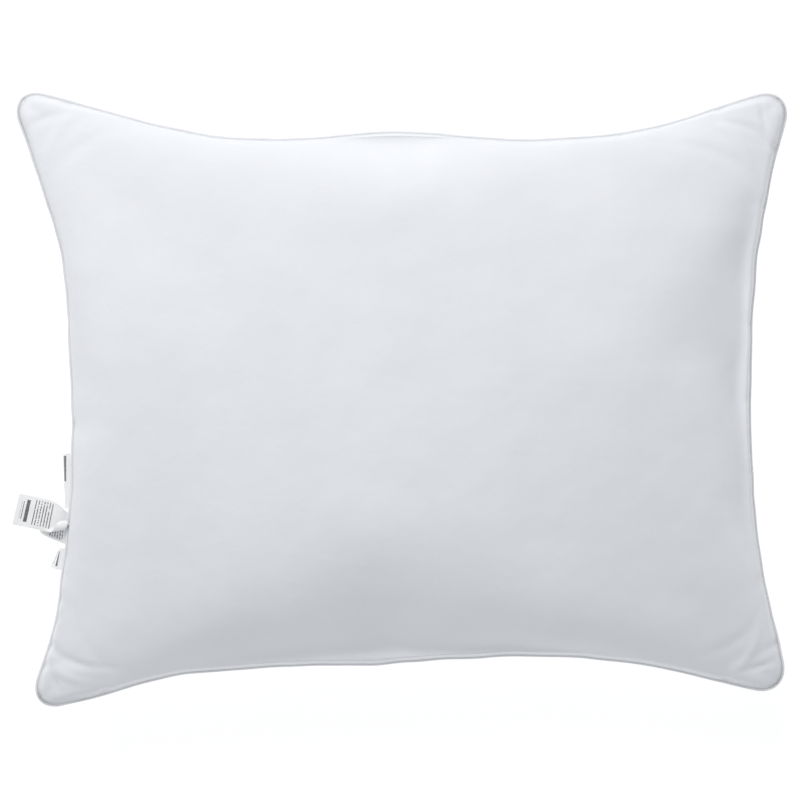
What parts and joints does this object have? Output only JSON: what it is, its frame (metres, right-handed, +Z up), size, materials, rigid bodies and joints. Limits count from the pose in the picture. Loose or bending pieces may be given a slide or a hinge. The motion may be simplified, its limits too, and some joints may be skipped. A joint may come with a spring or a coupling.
{
  "type": "bed pillow",
  "caption": "Rectangular corded bed pillow with a plump fibre filling, piped edge and three labels sewn into one short side.",
  "frame": {"origin": "on the surface the pillow rests on, under the middle of its outline", "axes": "+Z up through the pillow's thickness, X along its long side with the labels on the -X side, +Y towards its top edge"},
  "size_m": [0.6345, 0.505, 0.1573],
  "materials": {
    "cover_cloth": "matte",
    "fibre": "matte",
    "cord": "matte",
    "piping_cloth": "matte",
    "thread": "satin",
    "law_label_cloth": "matte",
    "label_cloth": "satin"
  },
  "bodies": {
    "pillow": {"front_panel": "cover_cloth", "back_panel": "cover_cloth", "fibre_fill": "fibre", "piping_cord": "cord", "piping_tape": "piping_cloth", "seam_needle_thread": "thread", "seam_bobbin_thread": "thread", "closing_thread": "thread"},
    "law_label": {"law_label": "law_label_cloth"},
    "care_label": {"care_label": "label_cloth"},
    "size_label": {"size_label": "label_cloth"}
  },
  "joints": [
    {"name": "law_label_flap", "type": "hinge", "parent": "pillow", "child": "law_label", "pos_m": [-0.27398, -0.06766, 0.072], "axis": [0.0431, 0.9991, 0], "range_deg": [-8, 60], "stiffness_Nm_per_rad": 0.0001},
    {"name": "care_label_flap", "type": "hinge", "parent": "pillow", "child": "care_label", "pos_m": [-0.27654, -0.10607, 0.072], "axis": [0.1011, 0.9949, 0], "range_deg": [-50, 80], "stiffness_Nm_per_rad": 0.0001},
    {"name": "size_label_flap", "type": "hinge", "parent": "pillow", "child": "size_label", "pos_m": [-0.27939, -0.1316, 0.072], "axis": [0.1237, 0.9923, 0], "range_deg": [-35, 120], "stiffness_Nm_per_rad": 0.0001}
  ]
}
